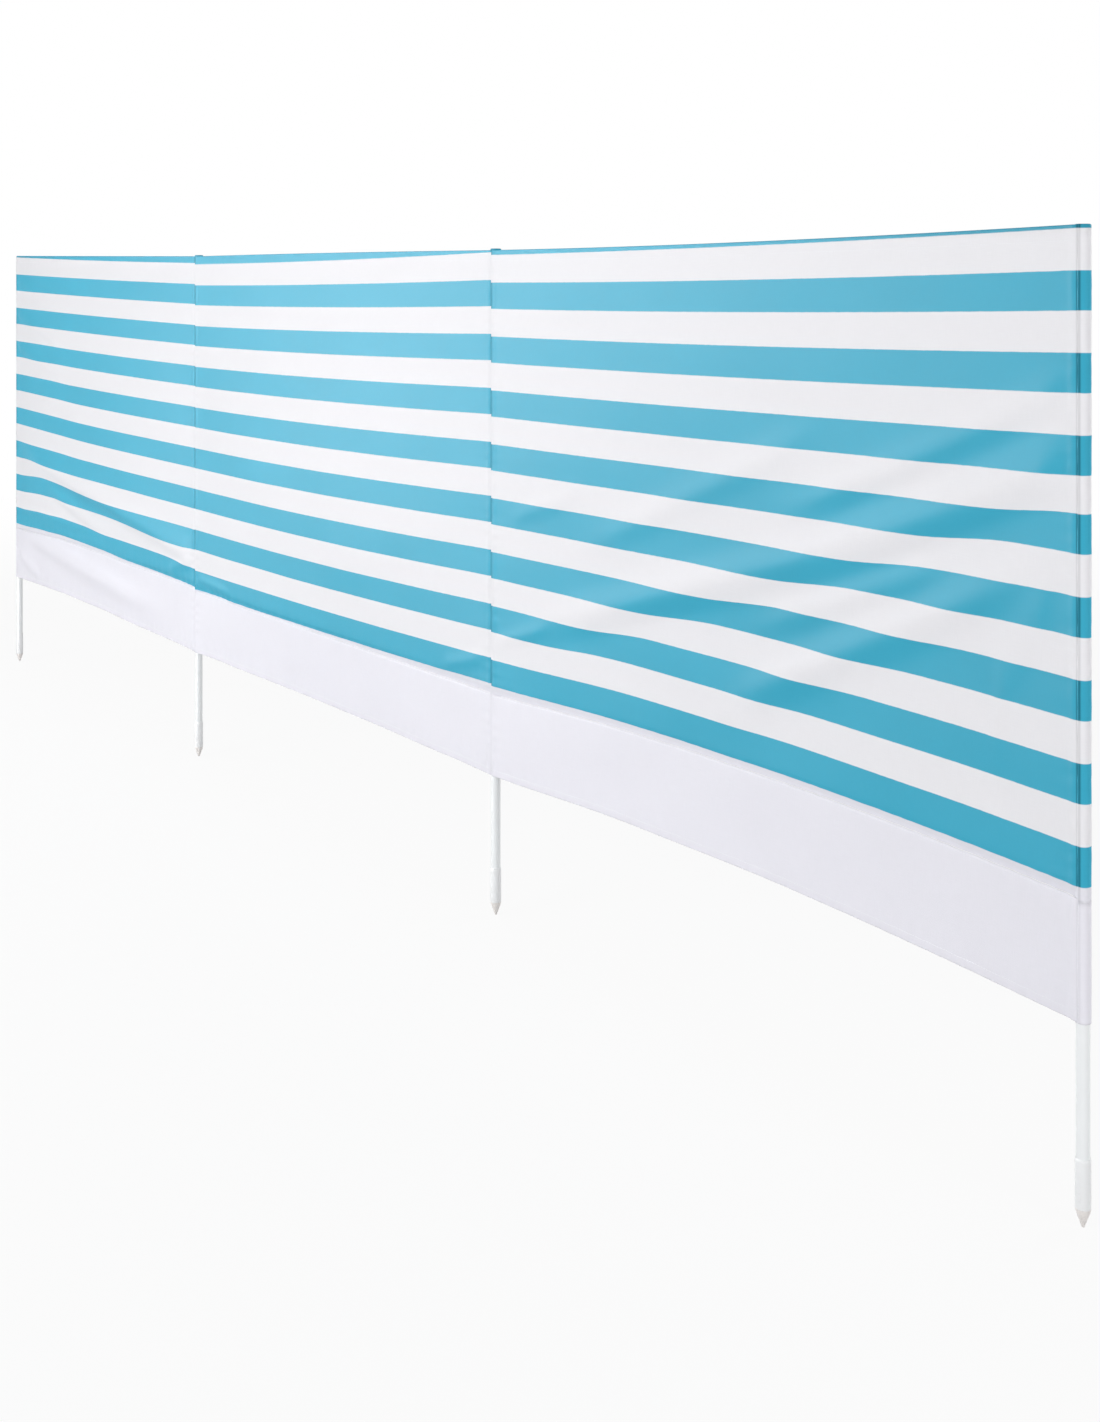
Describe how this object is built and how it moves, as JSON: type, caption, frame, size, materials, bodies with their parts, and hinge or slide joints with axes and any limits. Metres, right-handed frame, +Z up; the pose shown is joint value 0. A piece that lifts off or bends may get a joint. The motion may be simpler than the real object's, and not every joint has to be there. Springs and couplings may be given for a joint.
{
  "type": "beach windbreak",
  "caption": "Striped cloth windbreak with a plain skirt, sewn round upright ground poles whose pointed feet push into sand; its outer bays swing on the inner poles.",
  "frame": {"origin": "centre of the blunt tip of the second pole from the left, seen from the front", "axes": "+X along the windbreak to the right as seen from the front, +Y to the back, +Z up the poles"},
  "size_m": [3.017, 0.0453, 1],
  "materials": {
    "white_tube": "white powder coat on thin steel tube",
    "white_sleeve": "smooth moulded white plastic",
    "beige_point": "moulded greyish beige plastic",
    "striped_cloth": "plain-weave polyester, printed with blue stripes on white",
    "skirt_cloth": "smoother plain white coated polyester"
  },
  "bodies": {
    "middle_bay": {"pole_2": "white_tube", "ferrule_2": "white_sleeve", "point_2": "beige_point", "upper_pocket_2": "striped_cloth", "lower_pocket_2": "skirt_cloth", "pole_3": "white_tube", "ferrule_3": "white_sleeve", "point_3": "beige_point", "upper_pocket_3": "striped_cloth", "lower_pocket_3": "skirt_cloth", "striped_panel_2": "striped_cloth", "skirt_2": "skirt_cloth", "top_hem_2": "striped_cloth", "bottom_hem_2": "skirt_cloth"},
    "left_bay": {"pole_1": "white_tube", "ferrule_1": "white_sleeve", "point_1": "beige_point", "upper_pocket_1": "striped_cloth", "lower_pocket_1": "skirt_cloth", "striped_panel_1": "striped_cloth", "skirt_1": "skirt_cloth", "top_hem_1": "striped_cloth", "bottom_hem_1": "skirt_cloth"},
    "right_bay": {"pole_4": "white_tube", "ferrule_4": "white_sleeve", "point_4": "beige_point", "upper_pocket_4": "striped_cloth", "lower_pocket_4": "skirt_cloth", "striped_panel_3": "striped_cloth", "skirt_3": "skirt_cloth", "top_hem_3": "striped_cloth", "bottom_hem_3": "skirt_cloth"}
  },
  "joints": [
    {"name": "left_bay_swing", "type": "hinge", "parent": "middle_bay", "child": "left_bay", "pos_m": [0, 0, 0], "axis": [0, 0, 1], "range_deg": [-110, 110]},
    {"name": "right_bay_swing", "type": "hinge", "parent": "middle_bay", "child": "right_bay", "pos_m": [1, 0, 0], "axis": [0, 0, -1], "range_deg": [-110, 110]}
  ]
}
